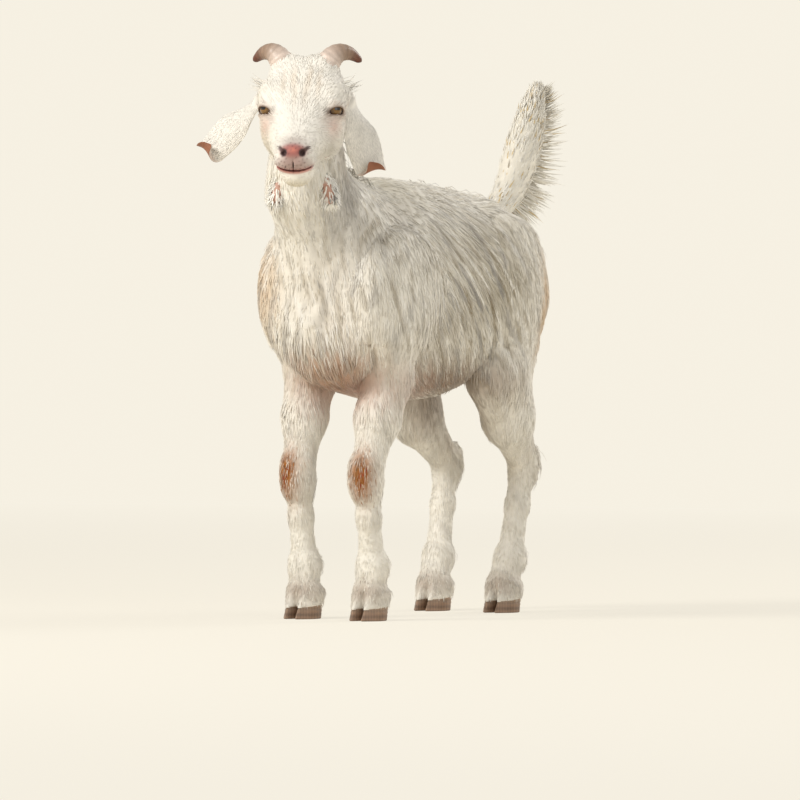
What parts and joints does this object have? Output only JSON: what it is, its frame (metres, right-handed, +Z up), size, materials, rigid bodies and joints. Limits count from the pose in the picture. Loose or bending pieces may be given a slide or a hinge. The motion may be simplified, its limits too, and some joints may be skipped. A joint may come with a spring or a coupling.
{
  "type": "goat figure",
  "caption": "Young white horned goat standing with its head turned, with jointed legs, neck, head, jaw, ears and tail that can be posed, on cloven hooves",
  "frame": {"origin": "on the ground under the middle of the object's box, in the rest pose", "axes": "+Z up; the goat faces -Y; +X is the goat's left"},
  "size_m": [0.2332, 0.7818, 0.7502],
  "materials": {
    "hide": "rough, off-white coat",
    "horn": "ridged horn",
    "hoof": "dull hoof horn",
    "eye": "wet gloss",
    "wattle_flesh": "soft skin",
    "steel_pin": "turned steel"
  },
  "bodies": {
    "torso": {"torso": "hide", "neck_pin": "steel_pin", "tail_pin": "steel_pin", "fore_left_shoulder_pin": "steel_pin", "hind_left_hip_pin": "steel_pin", "fore_right_shoulder_pin": "steel_pin", "hind_right_hip_pin": "steel_pin"},
    "fore_left_shoulder": {"fore_left_shoulder": "hide", "fore_left_elbow_pin": "steel_pin"},
    "fore_left_forearm": {"fore_left_forearm": "hide", "fore_left_knee_pin": "steel_pin"},
    "fore_left_cannon": {"fore_left_cannon": "hide", "fore_left_fetlock_pin": "steel_pin"},
    "fore_left_foot": {"fore_left_foot": "hide", "fore_left_outer_claw": "hoof", "fore_left_inner_claw": "hoof"},
    "hind_left_thigh": {"hind_left_thigh": "hide", "hind_left_stifle_pin": "steel_pin"},
    "hind_left_shank": {"hind_left_shank": "hide", "hind_left_hock_pin": "steel_pin"},
    "hind_left_cannon": {"hind_left_cannon": "hide", "hind_left_fetlock_pin": "steel_pin"},
    "hind_left_foot": {"hind_left_foot": "hide", "hind_left_outer_claw": "hoof", "hind_left_inner_claw": "hoof"},
    "fore_right_shoulder": {"fore_right_shoulder": "hide", "fore_right_elbow_pin": "steel_pin"},
    "fore_right_forearm": {"fore_right_forearm": "hide", "fore_right_knee_pin": "steel_pin"},
    "fore_right_cannon": {"fore_right_cannon": "hide", "fore_right_fetlock_pin": "steel_pin"},
    "fore_right_foot": {"fore_right_foot": "hide", "fore_right_outer_claw": "hoof", "fore_right_inner_claw": "hoof"},
    "hind_right_thigh": {"hind_right_thigh": "hide", "hind_right_stifle_pin": "steel_pin"},
    "hind_right_shank": {"hind_right_shank": "hide", "hind_right_hock_pin": "steel_pin"},
    "hind_right_cannon": {"hind_right_cannon": "hide", "hind_right_fetlock_pin": "steel_pin"},
    "hind_right_foot": {"hind_right_foot": "hide", "hind_right_outer_claw": "hoof", "hind_right_inner_claw": "hoof"},
    "neck": {"neck": "hide", "neck_turn_post": "steel_pin"},
    "upper_neck": {"upper_neck": "hide", "poll_pin": "steel_pin"},
    "head": {"head": "hide", "horn_left": "horn", "horn_right": "horn", "jaw_pin": "steel_pin"},
    "lower_jaw": {"lower_jaw": "hide"},
    "ear_left": {"ear_left": "hide"},
    "ear_right": {"ear_right": "hide"},
    "eye_left": {"eye_left": "eye"},
    "eye_right": {"eye_right": "eye"},
    "wattle_left": {"wattle_left": "wattle_flesh"},
    "wattle_right": {"wattle_right": "wattle_flesh"},
    "tail": {"tail": "hide"}
  },
  "joints": [
    {"name": "fore_left_shoulder", "type": "hinge", "parent": "torso", "child": "fore_left_shoulder", "pos_m": [0.079, -0.1368, 0.43], "axis": [-1, 0, 0], "range_deg": [-20, 20]},
    {"name": "fore_left_elbow", "type": "hinge", "parent": "fore_left_shoulder", "child": "fore_left_forearm", "pos_m": [0.058, -0.1268, 0.315], "axis": [-1, 0, 0], "range_deg": [-5, 45]},
    {"name": "fore_left_knee", "type": "hinge", "parent": "fore_left_forearm", "child": "fore_left_cannon", "pos_m": [0.0545, -0.1728, 0.187], "axis": [1, 0, 0], "range_deg": [0, 60]},
    {"name": "fore_left_fetlock", "type": "hinge", "parent": "fore_left_cannon", "child": "fore_left_foot", "pos_m": [0.0515, -0.1488, 0.071], "axis": [1, 0, 0], "range_deg": [-15, 35]},
    {"name": "hind_left_hip", "type": "hinge", "parent": "torso", "child": "hind_left_thigh", "pos_m": [0.079, 0.1582, 0.445], "axis": [-1, 0, 0], "range_deg": [-25, 20]},
    {"name": "hind_left_stifle", "type": "hinge", "parent": "hind_left_thigh", "child": "hind_left_shank", "pos_m": [0.079, 0.1232, 0.32], "axis": [1, 0, 0], "range_deg": [-15, 30]},
    {"name": "hind_left_hock", "type": "hinge", "parent": "hind_left_shank", "child": "hind_left_cannon", "pos_m": [0.056, 0.2452, 0.2], "axis": [-1, 0, 0], "range_deg": [-15, 40]},
    {"name": "hind_left_fetlock", "type": "hinge", "parent": "hind_left_cannon", "child": "hind_left_foot", "pos_m": [0.052, 0.2172, 0.072], "axis": [1, 0, 0], "range_deg": [-15, 35]},
    {"name": "fore_right_shoulder", "type": "hinge", "parent": "torso", "child": "fore_right_shoulder", "pos_m": [-0.079, -0.1368, 0.43], "axis": [-1, 0, 0], "range_deg": [-20, 20]},
    {"name": "fore_right_elbow", "type": "hinge", "parent": "fore_right_shoulder", "child": "fore_right_forearm", "pos_m": [-0.058, -0.1268, 0.315], "axis": [-1, 0, 0], "range_deg": [-5, 45]},
    {"name": "fore_right_knee", "type": "hinge", "parent": "fore_right_forearm", "child": "fore_right_cannon", "pos_m": [-0.0545, -0.1628, 0.187], "axis": [1, 0, 0], "range_deg": [0, 60]},
    {"name": "fore_right_fetlock", "type": "hinge", "parent": "fore_right_cannon", "child": "fore_right_foot", "pos_m": [-0.0515, -0.1488, 0.071], "axis": [1, 0, 0], "range_deg": [-15, 35]},
    {"name": "hind_right_hip", "type": "hinge", "parent": "torso", "child": "hind_right_thigh", "pos_m": [-0.079, 0.1582, 0.445], "axis": [-1, 0, 0], "range_deg": [-25, 20]},
    {"name": "hind_right_stifle", "type": "hinge", "parent": "hind_right_thigh", "child": "hind_right_shank", "pos_m": [-0.079, 0.1112, 0.32], "axis": [1, 0, 0], "range_deg": [-15, 30]},
    {"name": "hind_right_hock", "type": "hinge", "parent": "hind_right_shank", "child": "hind_right_cannon", "pos_m": [-0.056, 0.2332, 0.2], "axis": [-1, 0, 0], "range_deg": [-15, 40]},
    {"name": "hind_right_fetlock", "type": "hinge", "parent": "hind_right_cannon", "child": "hind_right_foot", "pos_m": [-0.052, 0.2052, 0.072], "axis": [1, 0, 0], "range_deg": [-15, 35]},
    {"name": "neck_raise", "type": "hinge", "parent": "torso", "child": "neck", "pos_m": [0, -0.1468, 0.455], "axis": [1, 0, 0], "range_deg": [-12, 14]},
    {"name": "neck_turn", "type": "hinge", "parent": "neck", "child": "upper_neck", "pos_m": [0, -0.23679, 0.56225], "axis": [0, -0.6428, 0.766], "range_deg": [-65, 35]},
    {"name": "head_nod", "type": "hinge", "parent": "upper_neck", "child": "head", "pos_m": [0.00732, -0.25324, 0.636], "axis": [0.9135, 0.4067, 0], "range_deg": [-20, 12]},
    {"name": "jaw_gape", "type": "hinge", "parent": "head", "child": "lower_jaw", "pos_m": [0.03092, -0.30623, 0.62], "axis": [0.9135, 0.4067, 0], "range_deg": [0, 18]},
    {"name": "ear_left_swing", "type": "hinge", "parent": "head", "child": "ear_left", "pos_m": [0.06809, -0.24589, 0.68], "axis": [0.4067, -0.9135, 0], "range_deg": [-2, 60]},
    {"name": "ear_right_swing", "type": "hinge", "parent": "head", "child": "ear_right", "pos_m": [-0.0388, -0.29348, 0.68], "axis": [-0.4067, 0.9135, 0], "range_deg": [-12, 40]},
    {"name": "eye_left_turn", "type": "hinge", "parent": "head", "child": "eye_left", "pos_m": [0.06918, -0.29138, 0.666], "axis": [0, 0, 1], "range_deg": [-20, 20]},
    {"name": "eye_right_turn", "type": "hinge", "parent": "head", "child": "eye_right", "pos_m": [-0.00573, -0.32473, 0.666], "axis": [0, 0, 1], "range_deg": [-20, 20]},
    {"name": "wattle_left_swing", "type": "hinge", "parent": "upper_neck", "child": "wattle_left", "pos_m": [0.03769, -0.26308, 0.59167], "axis": [-0.9135, -0.4067, 0], "range_deg": [0, 35]},
    {"name": "wattle_right_swing", "type": "hinge", "parent": "upper_neck", "child": "wattle_right", "pos_m": [-0.00569, -0.28239, 0.59167], "axis": [-0.9135, -0.4067, 0], "range_deg": [0, 35]},
    {"name": "tail_raise", "type": "hinge", "parent": "torso", "child": "tail", "pos_m": [0, 0.2252, 0.508], "axis": [1, 0, 0], "range_deg": [-30, 15]}
  ],
  "couplings": [
    {"joint": "eye_right_turn", "follows": "eye_left_turn", "ratio": 1}
  ]
}
